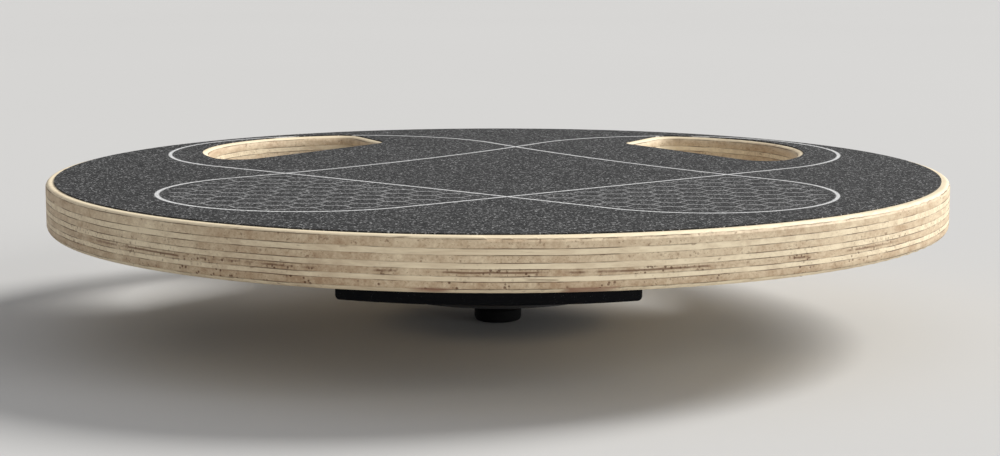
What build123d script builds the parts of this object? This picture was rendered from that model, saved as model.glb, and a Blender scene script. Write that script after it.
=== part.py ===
from build123d import *
from math import acos, asin, atan2, cos, degrees, radians, sin, sqrt, tan
import os

# Balance board: a round plywood deck with two hand holes, a grit sheet on top, bumper pads
# under its rim, and a riser that holds a swivel. The swivel's stem stands on a small rubber foot,
# so the deck tilts every way until a pad meets the floor.
# The origin is on the floor under the foot, +Y is the hand-hole side, and units are millimetres.

# Deck
deck_radius = 200.0
deck_thickness = 21.0
deck_underside = 47.0
deck_top_round = 2.0
deck_bottom_round = 3.0
sheet_thickness = 0.5
sheet_inset = 3.7

# Hand holes: a D cut by one arc, a straight inner edge and a short end edge
hole_arc_radius = 71.5
hole_depth = 60.2
hole_rim_width = 16.3
hole_middle_angle = 50.0
hole_inner_angle = 36.0
hole_end_angle = 62.2
hole_corner_round = 9.0
hole_edge_round = 3.4
sheet_hole_margin = 3.8

# Bumper pads
pad_length = 120.5
pad_width = 22.0
pad_thickness = 13.0
pad_setback = 47.0
pad_edge_round = 2.0
pad_hole_gap = 9.0
pad_screw_spread = 0.7

# Riser, plate and their fasteners
riser_radius = 49.5
plate_thickness = 1.2
plate_underside = 14.0
plate_overhang = 0.5
riser_edge_round = 1.0
riser_screw_ring = 31.0
plate_screw_ring = 42.0
dowel_ring = 28.0
dowel_radius = 4.0
dowel_length = 20.0

# Screws
wood_screw_radius = 2.5
wood_screw_bite = 14.0
screw_point = 5.0
countersink_radius = 5.0
plate_screw_radius = 1.75
plate_screw_length = 16.0
pad_screw_head_radius = 4.2
pad_screw_head_height = 2.6
pad_screw_crown_radius = 2.5
pad_screw_head_side = 1.0
pad_screw_bite = 13.0
washer_radius = 5.6
washer_thickness = 1.0
pad_screw_recess = 6.0
recess_span = 1.2
recess_width = 0.9
recess_depth = 1.2

# Swivel: a ball stud, a floating liner round its ball, and two seats that hold the liner
ball_radius = 10.0
tilt_limit = 12.5
neck_radius = 5.0
stud_shank_radius = 4.0
liner_wall = 1.6
seat_wall = 4.3
seat_roof = 2.6
seat_lip = 1.14
seat_flare = 0.9
spring_washer_thickness = 1.0
spring_washer_hole = 6.0

# Foot
foot_radius = 10.65
foot_sole = 2.0
foot_wall = 1.65
foot_side_height = 5.4
foot_shoulder_radius = 8.0
foot_height = 7.0
foot_edge_round = 2.0
core_collar_radius = 6.6

# Clearances
running_gap = 0.05
screw_gap = 0.05
bore_gap = 0.3
angle_gap = 1.5
far = 200.0

# Worked-out places
deck_top = deck_underside + deck_thickness
riser_underside = plate_underside + plate_thickness
riser_height = deck_underside - riser_underside
plate_radius = riser_radius + plate_overhang
pad_outer_radius = deck_radius - pad_setback
pad_middle_radius = pad_outer_radius - pad_width / 2
pad_underside = deck_underside - pad_thickness
pad_half_angle = degrees(asin(pad_length / 2 / pad_outer_radius))
hole_outer_radius = deck_radius - hole_rim_width
hole_arc_distance = hole_outer_radius - hole_arc_radius
hole_inner_distance = hole_outer_radius - hole_depth
plate_screw_head_radius = plate_screw_radius + plate_thickness
liner_inner = ball_radius + running_gap
liner_outer = liner_inner + liner_wall
socket_radius = liner_outer + running_gap
seat_radius = socket_radius + seat_wall
neck_angle = degrees(asin(neck_radius / ball_radius))
liner_mouth_angle = neck_angle + tilt_limit + angle_gap
both_tilts = degrees(acos(cos(radians(tilt_limit)) ** 2))
seat_mouth_angle = neck_angle + both_tilts + angle_gap
mouth_radius = socket_radius * sin(radians(seat_mouth_angle))
mouth_drop = socket_radius * cos(radians(seat_mouth_angle))
ball_centre = riser_underside + seat_lip + mouth_drop
seat_top = ball_centre + socket_radius + seat_roof
seat_bevel = seat_roof / 3
spring_washer_top = seat_top + spring_washer_thickness
neck_sweep = (ball_centre - plate_underside) * tan(radians(both_tilts))
plate_hole_radius = neck_sweep + neck_radius / cos(radians(both_tilts)) + bore_gap
core_radius = foot_radius - foot_wall

os.makedirs("parts", exist_ok=True)


def polar(radius, angle, height=0.0):
    """A point at a radius and an angle from +X, at a height."""
    return (radius * cos(radians(angle)), radius * sin(radians(angle)), height)


def ring_places(radius, count, first=0.0):
    """Evenly spaced places on a ring."""
    return [polar(radius, first + 360 * step / count) for step in range(count)]


def at_height(places, height):
    """The same places at another height."""
    return [(x, y, height) for x, y, _ in places]


def lowest_hole_angle():
    """The angle of the hand hole's corner nearest the side of the board."""
    lean = radians(hole_middle_angle - hole_inner_angle)
    across = hole_arc_distance * cos(lean)
    along = hole_arc_distance * sin(lean)
    half_chord = sqrt(hole_arc_radius**2 - (hole_inner_distance - across) ** 2)
    return hole_inner_angle + degrees(atan2(along - half_chord, hole_inner_distance))


def hand_hole(margin):
    """The outline of the right hand hole, grown all round by a margin."""
    with BuildSketch(mode=Mode.PRIVATE) as outline:
        with Locations(polar(hole_arc_distance, hole_middle_angle)):
            Circle(hole_arc_radius)
        inner_edge = Location(polar(hole_inner_distance, hole_inner_angle), hole_inner_angle)
        with Locations(inner_edge):
            Rectangle(far, 2 * far, align=(Align.MIN, Align.CENTER), mode=Mode.INTERSECT)
        with Locations(Location((0, 0, 0), hole_end_angle)):
            Rectangle(2 * far, far, align=(Align.MIN, Align.MAX), mode=Mode.INTERSECT)
        fillet(outline.vertices(), hole_corner_round)
        if margin > 0:
            offset(amount=margin, kind=Kind.ARC)
    return outline.sketch


def cut_cross(radius, height):
    """A cross recess for a driver, cut up into a screw head that faces down."""
    for turn in (0, 90):
        with Locations(Location((0, 0, height), turn)):
            Box(
                recess_span * radius,
                recess_width,
                recess_depth,
                align=(Align.CENTER, Align.CENTER, Align.MIN),
                mode=Mode.SUBTRACT,
            )


side_pad_angle = lowest_hole_angle() - pad_half_angle - degrees(pad_hole_gap / pad_middle_radius)
pad_angles = {
    "front": -90.0,
    "rear": 90.0,
    "right": side_pad_angle,
    "left": 180.0 - side_pad_angle,
}
pad_screw_step = pad_screw_spread * pad_half_angle
pad_screw_places = [
    polar(pad_middle_radius, angle + step)
    for angle in pad_angles.values()
    for step in (-pad_screw_step, 0, pad_screw_step)
]
riser_screw_places = ring_places(riser_screw_ring, 6, first=30)
plate_screw_places = ring_places(plate_screw_ring, 6)
dowel_places = ring_places(dowel_ring, 2)

# The deck: rounded rim, rounded hand holes, and blind holes for what is fastened under it
with BuildPart() as plywood_deck:
    with BuildSketch(Plane.XY.offset(deck_underside)):
        Circle(deck_radius)
    extrude(amount=deck_thickness)
    fillet(plywood_deck.edges().sort_by(Axis.Z)[-1], deck_top_round)
    fillet(plywood_deck.edges().sort_by(Axis.Z)[0], deck_bottom_round)
    with BuildSketch(Plane.XY.offset(deck_underside)):
        add(hand_hole(0))
        mirror(about=Plane.YZ)
    extrude(amount=deck_thickness, mode=Mode.SUBTRACT)
    hole_outline = plywood_deck.edges().filter_by(lambda edge: edge.length < deck_radius)
    fillet(hole_outline.group_by(Axis.Z)[0] + hole_outline.group_by(Axis.Z)[-1], hole_edge_round)
    with Locations(*at_height(riser_screw_places, deck_underside)):
        Cylinder(
            wood_screw_radius + screw_gap,
            wood_screw_bite + screw_gap,
            align=(Align.CENTER, Align.CENTER, Align.MIN),
            mode=Mode.SUBTRACT,
        )
    with Locations(*at_height(pad_screw_places, deck_underside)):
        Cylinder(
            wood_screw_radius + screw_gap,
            pad_screw_bite + screw_gap,
            align=(Align.CENTER, Align.CENTER, Align.MIN),
            mode=Mode.SUBTRACT,
        )
    with Locations(*at_height(dowel_places, deck_underside)):
        Cylinder(
            dowel_radius + screw_gap,
            dowel_length / 2 + screw_gap,
            align=(Align.CENTER, Align.CENTER, Align.MIN),
            mode=Mode.SUBTRACT,
        )
plywood_deck.part.label = "plywood_deck"
export_step(plywood_deck.part, "parts/plywood_deck.step")

# The grit sheet stuck on the deck, cut back from the rim and from the hand holes
with BuildPart() as grip_sheet:
    with BuildSketch(Plane.XY.offset(deck_top)):
        Circle(deck_radius - sheet_inset)
        add(hand_hole(sheet_hole_margin), mode=Mode.SUBTRACT)
        add(mirror(hand_hole(sheet_hole_margin), about=Plane.YZ, mode=Mode.PRIVATE), mode=Mode.SUBTRACT)
    extrude(amount=sheet_thickness)
grip_sheet.part.label = "grip_sheet"
export_step(grip_sheet.part, "parts/grip_sheet.step")


def bumper_pad(middle_angle):
    """One rubber arc pad with rounded lower edges and a countersunk place for each screw."""
    with BuildPart() as pad:
        with BuildSketch(Plane.XY.offset(pad_underside)):
            with BuildLine():
                first = middle_angle - pad_half_angle
                inner = pad_outer_radius - pad_width
                outside = CenterArc((0, 0), pad_outer_radius, first, 2 * pad_half_angle)
                inside = CenterArc((0, 0), inner, first, 2 * pad_half_angle)
                Line(outside @ 0, inside @ 0)
                Line(outside @ 1, inside @ 1)
            make_face()
        extrude(amount=pad_thickness)
        fillet(pad.edges().filter_by(Axis.Z), pad_edge_round)
        fillet(pad.faces().sort_by(Axis.Z)[0].edges(), pad_edge_round)
        places = [
            polar(pad_middle_radius, middle_angle + step, pad_underside)
            for step in (-pad_screw_step, 0, pad_screw_step)
        ]
        with Locations(*places):
            Cylinder(
                wood_screw_radius + screw_gap,
                pad_thickness,
                align=(Align.CENTER, Align.CENTER, Align.MIN),
                mode=Mode.SUBTRACT,
            )
            Cylinder(
                washer_radius + bore_gap,
                pad_screw_recess + washer_thickness,
                align=(Align.CENTER, Align.CENTER, Align.MIN),
                mode=Mode.SUBTRACT,
            )
    return pad


for side, middle_angle in pad_angles.items():
    bumper = bumper_pad(middle_angle)
    bumper.part.label = f"bumper_pad_{side}"
    export_step(bumper.part, f"parts/bumper_pad_{side}.step")

# A washer in the bottom of each pad recess, and the screw that goes up through it
washer_underside = pad_underside + pad_screw_recess
with BuildPart() as pad_washers:
    with Locations(*at_height(pad_screw_places, washer_underside)):
        Cylinder(washer_radius, washer_thickness, align=(Align.CENTER, Align.CENTER, Align.MIN))
        Cylinder(
            wood_screw_radius + screw_gap,
            washer_thickness,
            align=(Align.CENTER, Align.CENTER, Align.MIN),
            mode=Mode.SUBTRACT,
        )
pad_washers.part.label = "pad_washers"
export_step(pad_washers.part, "parts/pad_washers.step")

with BuildPart() as pad_screw:
    with BuildSketch(Plane.XZ):
        with BuildLine():
            top = deck_underside - washer_underside + pad_screw_bite
            Polyline(
                (0, -pad_screw_head_height),
                (pad_screw_crown_radius, -pad_screw_head_height),
                (pad_screw_head_radius, -pad_screw_head_side),
                (pad_screw_head_radius, 0),
                (wood_screw_radius, 0),
                (wood_screw_radius, top - screw_point),
                (0, top),
                close=True,
            )
        make_face()
    revolve(axis=Axis.Z)
    cut_cross(pad_screw_head_radius, -pad_screw_head_height)
with BuildPart() as pad_screws:
    with Locations(*at_height(pad_screw_places, washer_underside)):
        add(pad_screw.part)
pad_screws.part.label = "pad_screws"
export_step(pad_screws.part, "parts/pad_screws.step")

# The riser: a plywood disc screwed and dowelled under the deck, bored from below for the swivel
with BuildPart() as riser_block:
    with BuildSketch(Plane.XY.offset(riser_underside)):
        Circle(riser_radius)
    extrude(amount=riser_height)
    fillet(riser_block.edges().sort_by(Axis.Z)[0], riser_edge_round)
    with Locations((0, 0, riser_underside)):
        Cylinder(
            seat_radius + screw_gap,
            spring_washer_top - riser_underside,
            align=(Align.CENTER, Align.CENTER, Align.MIN),
            mode=Mode.SUBTRACT,
        )
    with Locations(*at_height(riser_screw_places, riser_underside)):
        Cylinder(
            wood_screw_radius + screw_gap,
            riser_height,
            align=(Align.CENTER, Align.CENTER, Align.MIN),
            mode=Mode.SUBTRACT,
        )
        Cone(
            countersink_radius + screw_gap,
            wood_screw_radius + screw_gap,
            countersink_radius - wood_screw_radius,
            align=(Align.CENTER, Align.CENTER, Align.MIN),
            mode=Mode.SUBTRACT,
        )
    with Locations(*at_height(dowel_places, deck_underside)):
        Cylinder(
            dowel_radius + screw_gap,
            dowel_length / 2 + screw_gap,
            align=(Align.CENTER, Align.CENTER, Align.MAX),
            mode=Mode.SUBTRACT,
        )
    with Locations(*at_height(plate_screw_places, riser_underside)):
        Cylinder(
            plate_screw_radius + screw_gap,
            plate_screw_length - plate_thickness + screw_gap,
            align=(Align.CENTER, Align.CENTER, Align.MIN),
            mode=Mode.SUBTRACT,
        )
riser_block.part.label = "riser_block"
export_step(riser_block.part, "parts/riser_block.step")


def countersunk_screw(head_radius, shank_radius, length):
    """A countersunk screw that points up, its flat head at the origin."""
    with BuildPart() as screw:
        with BuildSketch(Plane.XZ):
            with BuildLine():
                Polyline(
                    (0, 0),
                    (head_radius, 0),
                    (shank_radius, head_radius - shank_radius),
                    (shank_radius, length - screw_point),
                    (0, length),
                    close=True,
                )
            make_face()
        revolve(axis=Axis.Z)
        cut_cross(head_radius, 0)
    return screw.part


with BuildPart() as riser_screws:
    with Locations(*at_height(riser_screw_places, riser_underside)):
        add(countersunk_screw(countersink_radius, wood_screw_radius, riser_height + wood_screw_bite))
riser_screws.part.label = "riser_screws"
export_step(riser_screws.part, "parts/riser_screws.step")

with BuildPart() as locating_dowels:
    with Locations(*at_height(dowel_places, deck_underside)):
        Cylinder(dowel_radius, dowel_length)
    chamfer(locating_dowels.edges().filter_by(GeomType.CIRCLE), dowel_radius / 5)
locating_dowels.part.label = "locating_dowels"
export_step(locating_dowels.part, "parts/locating_dowels.step")

# The round steel plate that holds the swivel up in the riser, and its screws
with BuildPart() as foot_plate:
    with BuildSketch(Plane.XY.offset(plate_underside)):
        Circle(plate_radius)
        Circle(plate_hole_radius, mode=Mode.SUBTRACT)
    extrude(amount=plate_thickness)
    with Locations(*at_height(plate_screw_places, plate_underside)):
        Cylinder(
            plate_screw_radius + screw_gap,
            plate_thickness,
            align=(Align.CENTER, Align.CENTER, Align.MIN),
            mode=Mode.SUBTRACT,
        )
        Cone(
            plate_screw_head_radius + screw_gap,
            plate_screw_radius + screw_gap,
            plate_thickness,
            align=(Align.CENTER, Align.CENTER, Align.MIN),
            mode=Mode.SUBTRACT,
        )
foot_plate.part.label = "foot_plate"
export_step(foot_plate.part, "parts/foot_plate.step")

with BuildPart() as plate_screws:
    with Locations(*at_height(plate_screw_places, plate_underside)):
        add(countersunk_screw(plate_screw_head_radius, plate_screw_radius, plate_screw_length))
plate_screws.part.label = "plate_screws"
export_step(plate_screws.part, "parts/plate_screws.step")

# The two seats: the upper one is a cap over the ball, the lower one a ring under it
with BuildPart() as upper_seat:
    with Locations((0, 0, ball_centre)):
        Cylinder(seat_radius, seat_top - ball_centre, align=(Align.CENTER, Align.CENTER, Align.MIN))
    chamfer(upper_seat.edges().sort_by(Axis.Z)[-1], seat_bevel)
    with Locations((0, 0, ball_centre)):
        Sphere(socket_radius, mode=Mode.SUBTRACT)
upper_seat.part.label = "upper_seat"
export_step(upper_seat.part, "parts/upper_seat.step")

with BuildPart() as lower_seat:
    with Locations((0, 0, riser_underside)):
        Cylinder(
            seat_radius,
            ball_centre - riser_underside,
            align=(Align.CENTER, Align.CENTER, Align.MIN),
        )
    with Locations((0, 0, ball_centre)):
        Sphere(socket_radius, mode=Mode.SUBTRACT)
    with Locations((0, 0, riser_underside)):
        Cone(
            plate_hole_radius + seat_flare,
            mouth_radius,
            ball_centre - mouth_drop - riser_underside,
            align=(Align.CENTER, Align.CENTER, Align.MIN),
            mode=Mode.SUBTRACT,
        )
lower_seat.part.label = "lower_seat"
export_step(lower_seat.part, "parts/lower_seat.step")

# A spring washer above the upper seat keeps the swivel stiff enough to stay where it is put
with BuildPart() as spring_washer:
    with BuildSketch(Plane.XY.offset(seat_top)):
        Circle(seat_radius - seat_bevel)
        Circle(spring_washer_hole, mode=Mode.SUBTRACT)
    extrude(amount=spring_washer_thickness)
spring_washer.part.label = "spring_washer"
export_step(spring_washer.part, "parts/spring_washer.step")

# The floating liner, open below for the neck
liner_mouth_drop = liner_inner * cos(radians(liner_mouth_angle))
with BuildPart() as ball_liner:
    with Locations((0, 0, ball_centre)):
        Sphere(liner_outer)
        Sphere(liner_inner, mode=Mode.SUBTRACT)
    with Locations((0, 0, ball_centre - liner_mouth_drop)):
        Cylinder(
            liner_outer,
            liner_outer,
            align=(Align.CENTER, Align.CENTER, Align.MAX),
            mode=Mode.SUBTRACT,
        )
ball_liner.part.label = "ball_liner"
export_step(ball_liner.part, "parts/ball_liner.step")

# The ball stud, and the foot core that it is screwed into
with BuildPart() as ball_stud:
    with Locations((0, 0, foot_sole)):
        Cylinder(
            stud_shank_radius,
            foot_height - foot_sole,
            align=(Align.CENTER, Align.CENTER, Align.MIN),
        )
    with Locations((0, 0, foot_height)):
        Cylinder(
            neck_radius,
            ball_centre - foot_height,
            align=(Align.CENTER, Align.CENTER, Align.MIN),
        )
    with Locations((0, 0, ball_centre)):
        Sphere(ball_radius)
ball_stud.part.label = "ball_stud"
export_step(ball_stud.part, "parts/ball_stud.step")


def core_shape():
    """The foot core's outside, standing on the origin."""
    with BuildPart() as shape:
        Cylinder(
            core_radius,
            foot_side_height - foot_sole,
            align=(Align.CENTER, Align.CENTER, Align.MIN),
        )
        Cylinder(
            core_collar_radius,
            foot_height - foot_sole,
            align=(Align.CENTER, Align.CENTER, Align.MIN),
        )
    return shape.part


with BuildPart() as foot_core:
    with Locations((0, 0, foot_sole)):
        add(core_shape())
        Cylinder(
            stud_shank_radius + screw_gap,
            foot_height - foot_sole,
            align=(Align.CENTER, Align.CENTER, Align.MIN),
            mode=Mode.SUBTRACT,
        )
foot_core.part.label = "foot_core"
export_step(foot_core.part, "parts/foot_core.step")

# The rubber foot, moulded round the core
with BuildPart() as rubber_foot:
    with BuildSketch(Plane.XZ):
        with BuildLine():
            Polyline(
                (0, 0),
                (foot_radius, 0),
                (foot_radius, foot_side_height),
                (foot_shoulder_radius, foot_height),
                (0, foot_height),
                close=True,
            )
        make_face()
    revolve(axis=Axis.Z)
    fillet(rubber_foot.edges().sort_by(Axis.Z)[0], foot_edge_round)
    with Locations((0, 0, foot_sole)):
        add(core_shape(), mode=Mode.SUBTRACT)
rubber_foot.part.label = "rubber_foot"
export_step(rubber_foot.part, "parts/rubber_foot.step")
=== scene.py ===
import bpy
from math import cos, hypot, pi, radians, sin, sqrt
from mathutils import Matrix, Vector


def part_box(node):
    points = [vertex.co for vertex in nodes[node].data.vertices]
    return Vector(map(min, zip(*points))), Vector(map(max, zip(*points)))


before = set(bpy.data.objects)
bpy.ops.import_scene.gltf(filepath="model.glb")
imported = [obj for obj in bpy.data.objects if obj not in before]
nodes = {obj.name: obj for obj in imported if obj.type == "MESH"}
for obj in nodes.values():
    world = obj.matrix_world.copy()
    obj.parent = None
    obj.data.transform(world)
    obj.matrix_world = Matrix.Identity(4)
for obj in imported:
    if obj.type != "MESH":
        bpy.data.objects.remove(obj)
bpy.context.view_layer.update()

# ---------------------------------------------------------------------------------------------
# Sizes, in metres, read from the frame or worked out from it
# ---------------------------------------------------------------------------------------------
deck_low, deck_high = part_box("plywood_deck")
sheet_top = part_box("grip_sheet")[1].z
riser_low, riser_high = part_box("riser_block")
deck_radius = deck_high.x
millimetre = 0.001


# ---------------------------------------------------------------------------------------------
# Shader maths: a Value is a number that runs through a material
# ---------------------------------------------------------------------------------------------
class Value:
    """A socket that ordinary operators work on: each operator adds one Math node."""

    def __init__(self, finish, socket):
        self.finish = finish
        self.socket = socket

    def math(self, operation, *others):
        return self.finish.math(operation, self, *others)

    def __add__(self, other):
        return self.math("ADD", other)

    def __sub__(self, other):
        return self.math("SUBTRACT", other)

    def __mul__(self, other):
        return self.math("MULTIPLY", other)

    def __truediv__(self, other):
        return self.math("DIVIDE", other)

    def __radd__(self, other):
        return self.finish.math("ADD", other, self)

    def __rsub__(self, other):
        return self.finish.math("SUBTRACT", other, self)

    def __rmul__(self, other):
        return self.finish.math("MULTIPLY", other, self)

    def __rtruediv__(self, other):
        return self.finish.math("DIVIDE", other, self)

    def __pow__(self, other):
        return self.math("POWER", other)

    def __abs__(self):
        return self.math("ABSOLUTE")

    def __lt__(self, other):
        return self.math("LESS_THAN", other)

    def __gt__(self, other):
        return self.math("GREATER_THAN", other)

    def low(self, other):
        return self.math("MINIMUM", other)

    def high(self, other):
        return self.math("MAXIMUM", other)

    def step(self, start, end):
        """0 at start and 1 at end, smoothly in between."""
        settings = {"interpolation_type": "SMOOTHSTEP"}
        inputs = {"Value": self, "From Min": start, "From Max": end}
        return Value(self.finish, self.finish.node("MapRange", settings, inputs).outputs["Result"])


class Finish:
    """One procedural material, built from a Principled shader outwards."""

    def __init__(self, name, roughness=0.5, metallic=0.0, specular=0.5):
        self.material = bpy.data.materials.new(name)
        self.material.use_nodes = True
        self.tree = self.material.node_tree
        self.shader = self.tree.nodes["Principled BSDF"]
        self.shader.inputs["Roughness"].default_value = roughness
        self.shader.inputs["Metallic"].default_value = metallic
        self.shader.inputs["Specular IOR Level"].default_value = specular
        self.place = self.node("TexCoord").outputs["Object"]

    def node(self, kind, settings=None, inputs=None):
        """Adds a node: its settings first, then the values or links of its sockets."""
        made = self.tree.nodes.new("ShaderNode" + kind)
        for key, value in (settings or {}).items():
            if key == "stops":
                self.set_stops(made.color_ramp, value)
            else:
                setattr(made, key, value)
        for key, value in (inputs or {}).items():
            self.feed(made.inputs[key], value)
        return made

    def feed(self, socket, value):
        """Links a value to a socket, or sets it when it is a plain number or tuple."""
        if isinstance(value, Value):
            value = value.socket
        if isinstance(value, bpy.types.NodeSocket):
            self.tree.links.new(value, socket)
        elif hasattr(socket.default_value, "__len__") and len(socket.default_value) == 4:
            socket.default_value = (*value, 1.0)
        else:
            socket.default_value = value

    def set_stops(self, ramp, stops):
        """Steps of grey, each of which holds up to the next."""
        ramp.interpolation = "CONSTANT"
        while len(ramp.elements) < len(stops):
            ramp.elements.new(1.0)
        for element, (place, tone) in zip(ramp.elements, stops):
            element.position = place
            element.color = (tone, tone, tone, 1.0)

    def math(self, operation, *terms):
        made = self.node("Math", {"operation": operation})
        for socket, term in zip(made.inputs, terms):
            self.feed(socket, term)
        return Value(self, made.outputs[0])

    def axes(self, vector=None):
        """The x, y and z of a vector, or of the place on the piece."""
        split = self.node("SeparateXYZ", None, {"Vector": vector or self.place})
        return [Value(self, split.outputs[axis]) for axis in "XYZ"]

    def join(self, x, y, z):
        return self.node("CombineXYZ", None, {"X": x, "Y": y, "Z": z}).outputs["Vector"]

    def stretch(self, factors, vector=None):
        inputs = {0: vector or self.place, 1: factors}
        return self.node("VectorMath", {"operation": "MULTIPLY"}, inputs).outputs["Vector"]

    def noise(self, scale, detail=2.0, roughness=0.5, vector=None):
        inputs = {
            "Vector": vector or self.place,
            "Scale": scale,
            "Detail": detail,
            "Roughness": roughness,
        }
        return Value(self, self.node("TexNoise", None, inputs).outputs["Fac"])

    def cells(self, scale, vector=None):
        """The distance from the nearest of many scattered points."""
        inputs = {"Vector": vector or self.place, "Scale": scale}
        return Value(self, self.node("TexVoronoi", None, inputs).outputs["Distance"])

    def cell_tones(self, scale):
        """Three numbers from 0 to 1 that change at random from cell to cell."""
        inputs = {"Vector": self.place, "Scale": scale}
        return self.axes(self.node("TexVoronoi", None, inputs).outputs["Color"])

    def steps(self, stops, place):
        """The tone of the step at a place from 0 to 1."""
        return self.axes(self.node("ValToRGB", {"stops": stops}, {"Fac": place}).outputs["Color"])[0]

    def blend(self, mask, first, second):
        """A colour that is first where the mask is 0 and second where it is 1."""
        made = self.node("Mix", {"data_type": "RGBA"})
        factor = next(socket for socket in made.inputs if socket.identifier == "Factor_Float")
        low = next(socket for socket in made.inputs if socket.identifier == "A_Color")
        high = next(socket for socket in made.inputs if socket.identifier == "B_Color")
        self.feed(factor, mask)
        self.feed(low, first)
        self.feed(high, second)
        return next(socket for socket in made.outputs if socket.identifier == "Result_Color")

    def colour(self, value):
        self.feed(self.shader.inputs["Base Color"], value)

    def rough(self, value):
        self.feed(self.shader.inputs["Roughness"], value)

    def bump(self, height, distance, strength=1.0):
        inputs = {"Height": height, "Distance": distance, "Strength": strength}
        self.feed(self.shader.inputs["Normal"], self.node("Bump", None, inputs).outputs["Normal"])


# ---------------------------------------------------------------------------------------------
# Plywood: layers of veneer with crossed grain, dark glue lines, pits in the end grain
# ---------------------------------------------------------------------------------------------
pale_birch = (0.87, 0.74, 0.52)
tan_birch = (0.42, 0.285, 0.17)
pore_brown = (0.30, 0.19, 0.10)
glue_brown = (0.10, 0.048, 0.02)
pit_brown = (0.11, 0.042, 0.018)
crack_brown = (0.17, 0.085, 0.04)
stain_red = (0.22, 0.07, 0.035)
split_brown = (0.15, 0.075, 0.035)

# How far the plies wander up and down, in metres, in long waves and in short ones
long_wander = 0.0008
short_wander = 0.0005
# The grain is stretched along its run: its scale there is this share of its scale across
along_grain = 0.045
# Millimetres from the middle of a line at which it has faded out, and at which it is full
glue_line = (0.24, 0.08)
split_line = (0.55, 0.2)
# The height of the split and of the stain, as a share of the board's thickness
split_level = 0.375
split_wander = 0.05
stain_level = (0.13, 0.07)

# Each ply from the top down: its share of the thickness, its tone, and whether its grain runs along X
deck_plies = [
    (1.0, 0.95, True),
    (3.5, 0.42, False),
    (2.4, 0.80, True),
    (2.8, 0.42, False),
    (2.25, 0.76, True),
    (2.65, 0.34, False),
    (1.95, 0.78, True),
    (2.8, 0.26, False),
    (1.65, 0.80, True),
]
riser_ply_count = 13
riser_plies = [(2.0, 0.75 if step % 2 else 0.4, step % 2 == 1) for step in range(riser_ply_count)]


def plywood(name, bottom, top, plies, worn_front=False):
    """Plywood between two heights, with a split and stains low on its front where asked for."""
    finish = Finish(name, roughness=0.62, specular=0.35)
    x, y, z = finish.axes()
    wander = (finish.noise(9.0, 2.0) - 0.5) * long_wander + (finish.noise(38.0, 3.0) - 0.5) * short_wander
    share = (z + wander - bottom) / (top - bottom)
    thickness_mm = (top - bottom) / millimetre
    total = sum(thickness for thickness, _, _ in plies)
    tones, ways, level = [], [], 0.0
    for thickness, tone, along_x in reversed(plies):
        tones.append((level, tone))
        ways.append((level, 1.0 if along_x else 0.0))
        level += thickness / total
    seams = [level for level, _ in tones[1:]]
    tone = finish.steps(tones, share)
    way = finish.steps(ways, share)

    # Grain: long streaks along each ply's run
    grain = finish.join(
        x * (way * (along_grain - 1.0) + 1.0),
        y * (way * (1.0 - along_grain) + along_grain),
        z,
    )
    fibres = finish.noise(900.0, 3.0, 0.6, grain)
    streaks = finish.noise(260.0, 4.0, 0.6, grain)
    bands = finish.noise(60.0, 2.0, 0.5, grain)
    patches = finish.noise(11.0, 2.0)
    grainy = (streaks - 0.5) * 1.15 + (fibres - 0.5) * 0.7
    grainy = grainy + (bands - 0.5) * 0.6 + (patches - 0.5) * 0.7
    wood = finish.blend((tone + grainy).low(1.0).high(0.0), tan_birch, pale_birch)

    # End grain: pores all over it, and pits that gather low down
    normal_x, normal_y, normal_z = finish.axes(finish.node("NewGeometry").outputs["Normal"])
    across = abs(normal_x) * way + abs(normal_y) * (1.0 - way)
    edge = 1.0 - abs(normal_z).step(0.75, 0.97)
    end_grain = across.step(0.45, 0.9) * edge
    pores = finish.cells(760.0, finish.stretch((1.0, 1.0, 1.6))).step(0.30, 0.10)
    pores = pores * end_grain * finish.noise(130.0, 2.0).step(0.30, 0.52)
    wood = finish.blend(pores * 0.6, wood, pore_brown)
    pits = finish.cells(520.0).step(0.34, 0.16)
    gathered = finish.noise(60.0, 3.0, 0.6).step(0.44, 0.58)
    low_half = share.step(0.72, 0.30) * 0.75 + 0.25
    pits = pits * gathered * low_half * (end_grain * 0.8 + 0.2) * edge

    # Glue lines: one at each seam, broken here and there
    glue = None
    for seam in seams:
        line = (abs(share - seam) * thickness_mm).step(*glue_line)
        glue = line if glue is None else glue.high(line)
    broken = finish.noise(48.0, 4.0, 0.65).step(0.36, 0.62)
    glue = glue * edge * (broken * 0.75 + 0.15)
    wood = finish.blend(glue * 0.85, wood, glue_brown)
    wood = finish.blend(pits * 0.85, wood, pit_brown)
    cracks = finish.noise(420.0, 2.0, 0.6, grain).step(0.66, 0.73) * edge
    wood = finish.blend(cracks * 0.5, wood, crack_brown)

    if worn_front:
        frontness = y / deck_radius
        stain = finish.noise(24.0, 1.0, 0.5, finish.stretch((1.0, 1.0, 0.2))).step(0.49, 0.53)
        stain = stain * share.step(*stain_level) * frontness.step(-0.93, -0.985)
        wood = finish.blend(stain * 0.75, wood, stain_red)
        waver = (finish.noise(70.0, 3.0, 0.6) - 0.5) * split_wander
        split = (abs(share + waver - split_level) * thickness_mm).step(*split_line)
        torn = finish.noise(30.0, 5.0, 0.7).step(0.47, 0.56)
        split = split * torn * frontness.step(-0.5, -0.75) * edge
        wood = finish.blend(split * 0.8, wood, split_brown)

    finish.colour(wood)
    finish.rough(0.56 + fibres * 0.16 + pits * 0.2)
    relief = streaks * 0.35 + fibres * 0.3 - pits * 1.3 - glue * 0.9 - cracks * 0.6
    finish.bump(relief, 0.00022)
    return finish.material


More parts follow.
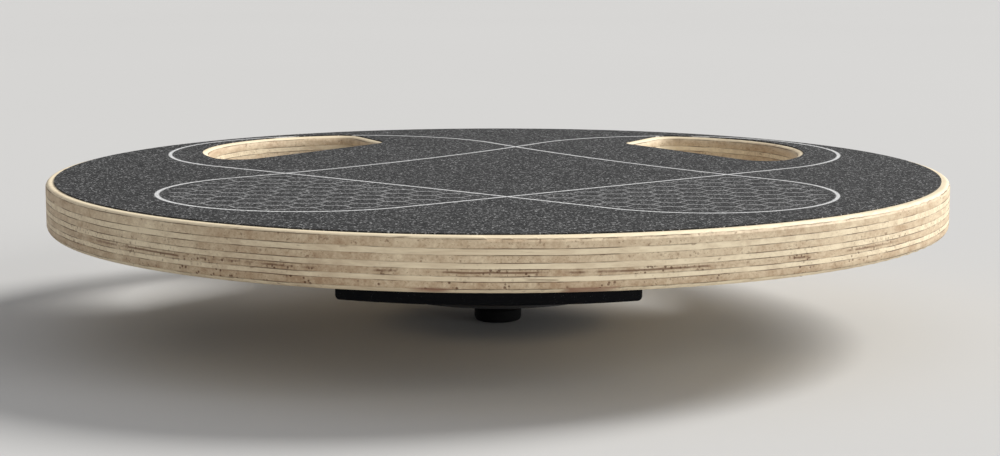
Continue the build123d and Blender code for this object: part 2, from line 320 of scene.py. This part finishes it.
# ---------------------------------------------------------------------------------------------
# Grit sheet: black grains, two crossing printed loops, honeycomb print in the front petals
# ---------------------------------------------------------------------------------------------
# Each printed loop is a small round lobe at the front and a large one at the rear, joined by two
# long arcs that bend gently inwards. The other loop is its mirror image. Places and radii are in
# metres from the middle of the print.
front_lobe = (-0.0795, -0.079)
front_lobe_radius = 0.061
rear_lobe = (0.0805, 0.0755)
rear_lobe_radius = 0.0815
rear_flank_radius = 0.69
front_flank_radius = 9.0
# The print lies to the right of the deck's middle: a little all over, and more so inside the reach
print_shift = 0.0009
middle_shift = 0.0053
middle_reach = 0.15
# Printed lines and honeycomb, in metres
line_half_width = 0.00085
line_fade = 0.0003
raggedness = 0.0012
cell_side = 0.0074
cell_pitch = 3.0 * cell_side
cell_height = sqrt(3.0) * cell_side
cross_line_extra = 0.0003
cell_line = (0.0007, 0.0001)
honeycomb_margin = 0.0045
ink_white = (0.80, 0.80, 0.79)


def flank_centre(radius, side):
    """The centre of an arc that touches both lobes, left (1) or right (-1) of the line to the rear."""
    run_x, run_y = rear_lobe[0] - front_lobe[0], rear_lobe[1] - front_lobe[1]
    run = hypot(run_x, run_y)
    from_front = front_lobe_radius + radius
    from_rear = rear_lobe_radius + radius
    along = (from_front ** 2 - from_rear ** 2 + run ** 2) / (2 * run)
    away = side * sqrt(from_front ** 2 - along ** 2)
    return (
        front_lobe[0] + (run_x * along - run_y * away) / run,
        front_lobe[1] + (run_y * along + run_x * away) / run,
    )


def grit(name):
    finish = Finish(name, roughness=0.8, specular=0.3)
    x, y, z = finish.axes()
    x = x - print_shift
    x = x - (1.0 - (x / middle_reach) * (x / middle_reach)).high(0.0) * middle_shift

    def distance(place_x, centre):
        across, along = place_x - centre[0], y - centre[1]
        return (across * across + along * along) ** 0.5

    def left_of(place_x, start, end):
        """1 where a place is to the left of the line from start to end."""
        ahead_x, ahead_y = end[0] - start[0], end[1] - start[1]
        return (y - start[1]) * ahead_x - (place_x - start[0]) * ahead_y > 0.0

    def outside_loop(mirror):
        """The distance outside one printed loop, below 0 inside it."""
        place_x = x * mirror
        outside = distance(place_x, front_lobe) - front_lobe_radius
        outside = outside.low(distance(place_x, rear_lobe) - rear_lobe_radius)
        rear_flank = flank_centre(rear_flank_radius, 1)
        front_flank = flank_centre(front_flank_radius, -1)
        for radius, start, end, centre in (
            (rear_flank_radius, front_lobe, rear_lobe, rear_flank),
            (front_flank_radius, rear_lobe, front_lobe, front_flank),
        ):
            between = left_of(place_x, start, end) * left_of(place_x, end, centre)
            between = between * left_of(place_x, centre, start)
            outside = outside * (1.0 - between) + (radius - distance(place_x, centre)) * between
        return outside

    first = outside_loop(1.0)
    second = outside_loop(-1.0)
    coarse = finish.cell_tones(900.0)[0]
    specks = finish.cell_tones(1500.0)[1].step(0.87, 0.95)
    worms = abs(finish.noise(560.0, 2.0, 0.55) - 0.5).step(0.08, 0.0)
    patches = finish.noise(26.0, 3.0)
    lumps = finish.noise(1100.0, 2.0, 0.7)
    ragged = (lumps - 0.5) * raggedness
    line_edge = (line_half_width + line_fade, line_half_width - line_fade)
    lines = (abs(first) + ragged).step(*line_edge).high((abs(second) + ragged).step(*line_edge))

    def cell_reach(shift_x, shift_y):
        """How far out from the middle of its cell a place is, in one grid of cells."""
        across = abs(finish.math("WRAP", x + shift_x, cell_pitch / 2, -cell_pitch / 2))
        along = abs(finish.math("WRAP", y + shift_y, cell_height / 2, -cell_height / 2))
        return (along + cross_line_extra).high(across * (sqrt(3.0) / 2) + along * 0.5)

    # Honeycomb: two grids of cell centres interleave, and the nearest centre gives the cell's edge
    nearest = cell_reach(0.0, 0.0).low(cell_reach(cell_pitch / 2, cell_height / 2))
    cell_edge = (cell_height / 2 - nearest + ragged * 1.6).step(*cell_line)
    in_first, in_second = first < -honeycomb_margin, second < -honeycomb_margin
    off_first, off_second = first > honeycomb_margin, second > honeycomb_margin
    petals = (in_first * off_second).high(in_second * off_first) * (y < 0.0)

    worn = lumps.step(0.30, 0.58)
    ink = (lines * (worn * 0.3 + 0.7)).high(cell_edge * petals * (worn * 0.42 + 0.06))
    tone = (0.003 + patches * 0.004) + (coarse ** 4) * 0.07 + specks * 0.31 + worms * 0.01
    black = finish.join(tone, tone, tone * 0.985)
    finish.colour(finish.blend(ink, black, ink_white))
    finish.rough(0.78 - worms * 0.2)
    finish.bump(coarse * 0.8 + specks * 0.6 + worms * 0.6, 0.0005)
    return finish.material


# ---------------------------------------------------------------------------------------------
# Rubber, moulded plastic, metal and dowels
# ---------------------------------------------------------------------------------------------
dust_grey = (0.10, 0.105, 0.115)


def scaled(tone, factor):
    """A colour made lighter or darker."""
    return tuple(channel * factor for channel in tone)


def rubber(name, tone, dustiness, pore_scale):
    finish = Finish(name, roughness=0.75, specular=0.1)
    pores = finish.cells(pore_scale)
    bloom = finish.noise(40.0, 4.0, 0.6)
    dust = finish.cells(1250.0).step(0.2, 0.08) * finish.noise(300.0, 2.0, 0.6).step(0.48, 0.6)
    base = finish.blend(bloom, scaled(tone, 0.75), scaled(tone, 1.3))
    finish.colour(finish.blend(dust * dustiness, base, dust_grey))
    finish.rough(0.66 + bloom * 0.16 + dust * 0.1)
    finish.bump(pores * 0.6 + bloom * 0.4, 0.00016)
    return finish.material


def moulded(name, tone, roughness):
    finish = Finish(name, roughness=roughness)
    texture = finish.noise(1700.0, 2.0, 0.6)
    flow = finish.noise(55.0, 3.0)
    finish.colour(finish.blend(flow * 0.5, tone, scaled(tone, 1.25)))
    finish.rough(roughness + texture * 0.16 - flow * 0.06)
    finish.bump(texture, 0.00004)
    return finish.material


def metal(name, tone, roughness, brushing, wear=0.25):
    """Metal with brush marks: the larger a brushing number, the finer the marks along that axis."""
    finish = Finish(name, roughness=roughness, metallic=1.0)
    brushed = finish.noise(1.0, 3.0, 0.6, finish.stretch(brushing))
    cloud = finish.noise(130.0, 4.0, 0.6)
    finish.colour(finish.blend((cloud - 0.35).high(0.0) * (wear * 3.0), tone, scaled(tone, 0.62)))
    finish.rough(roughness + brushed * 0.18 + cloud * 0.1 - 0.1)
    finish.bump(brushed * 0.7 + cloud * 0.3, 0.00003)
    return finish.material


def powder_coat(name):
    finish = Finish(name, roughness=0.45)
    orange_peel = finish.noise(900.0, 2.0, 0.55)
    scuffs = finish.noise(60.0, 5.0, 0.65, finish.stretch((1.0, 3.0, 1.0))).step(0.66, 0.78)
    finish.colour(finish.blend(scuffs * 0.35, (0.012, 0.012, 0.013), (0.07, 0.068, 0.066)))
    finish.rough(0.4 + orange_peel * 0.14 + scuffs * 0.12)
    finish.bump(orange_peel, 0.00006)
    return finish.material


def dowel_wood(name):
    finish = Finish(name, roughness=0.6)
    grain = finish.noise(700.0, 4.0, 0.6, finish.stretch((1.0, 1.0, 0.05)))
    rays = finish.cells(900.0, finish.stretch((1.0, 1.0, 0.2))).step(0.2, 0.06)
    wood = finish.blend(grain, (0.46, 0.27, 0.13), (0.70, 0.46, 0.26))
    finish.colour(finish.blend(rays * 0.5, wood, (0.2, 0.1, 0.045)))
    finish.rough(0.5 + grain * 0.2)
    finish.bump(grain - rays * 0.5, 0.00008)
    return finish.material


# ---------------------------------------------------------------------------------------------
# Each piece gets its finish
# ---------------------------------------------------------------------------------------------
def coat(finish, *names):
    """Gives CAD nodes one finish."""
    for name in names:
        nodes[name].data.materials.clear()
        nodes[name].data.materials.append(finish)


deck_ply = plywood("birch ply, deck", deck_low.z, deck_high.z, deck_plies, worn_front=True)
riser_ply = plywood("birch ply, riser", riser_low.z, riser_high.z, riser_plies)
coat(deck_ply, "plywood_deck")
coat(riser_ply, "riser_block")
coat(grit("black grit with print"), "grip_sheet")

pads = [name for name in nodes if name.startswith("bumper_pad")]
coat(rubber("pad rubber", (0.0045, 0.005, 0.0065), dustiness=0.7, pore_scale=1400.0), *pads)
coat(rubber("foot rubber", (0.008, 0.008, 0.008), dustiness=0.25, pore_scale=1900.0), "rubber_foot")
coat(moulded("black nylon, seats", (0.018, 0.018, 0.018), 0.42), "upper_seat", "lower_seat")
coat(moulded("black nylon, core", (0.022, 0.022, 0.023), 0.36), "foot_core")
coat(moulded("natural acetal", (0.72, 0.70, 0.62), 0.3), "ball_liner")

turned_marks = (40.0, 40.0, 5200.0)
rolled_marks = (1500.0, 300.0, 900.0)
coat(metal("turned steel", (0.60, 0.60, 0.60), 0.26, turned_marks, wear=0.15), "ball_stud")
coat(metal("spring steel", (0.26, 0.26, 0.27), 0.42, (900.0, 900.0, 900.0)), "spring_washer")
coat(metal("zinc plate, screws", (0.66, 0.65, 0.60), 0.34, (700.0, 700.0, 700.0)), "riser_screws")
coat(metal("zinc plate, washers", (0.62, 0.62, 0.60), 0.38, rolled_marks), "pad_washers")
black_oxide = metal("black oxide screw", (0.055, 0.053, 0.052), 0.4, (800.0, 800.0, 800.0), wear=0.1)
coat(black_oxide, "pad_screws", "plate_screws")
coat(powder_coat("black powder coat"), "foot_plate")
coat(dowel_wood("beech dowel"), "locating_dowels")


# ---------------------------------------------------------------------------------------------
# Floor, light and camera
# ---------------------------------------------------------------------------------------------
floor_size = 60.0


def pale_floor():
    bpy.ops.object.select_all(action="DESELECT")
    bpy.ops.mesh.primitive_plane_add(size=floor_size, location=(0.0, 0.0, 0.0))
    floor = bpy.context.active_object
    floor.name = "floor"
    finish = Finish("pale floor", roughness=0.85, specular=0.2)
    cloud = finish.noise(0.7, 2.0)
    finish.colour(finish.blend(cloud, (0.565, 0.56, 0.545), (0.595, 0.59, 0.575)))
    floor.data.materials.append(finish.material)


def soft_light(name, way, spread, strength, tint):
    """A far, wide light that shines from a direction, as soft as its spread in degrees."""
    lamp = bpy.data.lights.new(name, "SUN")
    lamp.energy = strength
    lamp.angle = radians(spread)
    lamp.color = tint
    light = bpy.data.objects.new(name, lamp)
    light.location = way
    light.rotation_euler = light.location.to_track_quat("Z", "Y").to_euler()
    bpy.context.scene.collection.objects.link(light)


pale_floor()
soft_light("window", way=(5.0, 2.9, 4.3), spread=24.0, strength=3.5, tint=(1.0, 0.99, 0.975))
soft_light("side", way=(5.6, -3.1, 1.9), spread=34.0, strength=1.3, tint=(0.985, 0.99, 1.0))

world = bpy.data.worlds.new("room")
world.use_nodes = True
room_light = world.node_tree.nodes["Background"]
room_light.inputs["Color"].default_value = (0.96, 0.965, 1.0, 1.0)
room_light.inputs["Strength"].default_value = 0.40
bpy.context.scene.world = world
bpy.context.scene.view_settings.view_transform = "Standard"

sight_distance = 4.670 * deck_radius
sight_height = sheet_top + 0.545 * deck_radius
sight_turn = radians(1.5)
sight_dip = radians(8.25)
sight_offset = radians(0.06)
camera_data = bpy.data.cameras.new("camera")
camera_data.lens = 74.86
camera_data.sensor_width = 36.0
camera = bpy.data.objects.new("camera", camera_data)
camera.location = (sight_distance * sin(sight_turn), -sight_distance * cos(sight_turn), sight_height)
camera.rotation_euler = (pi / 2 - sight_dip, 0.0, sight_turn - sight_offset)
bpy.context.scene.collection.objects.link(camera)
bpy.context.scene.camera = camera
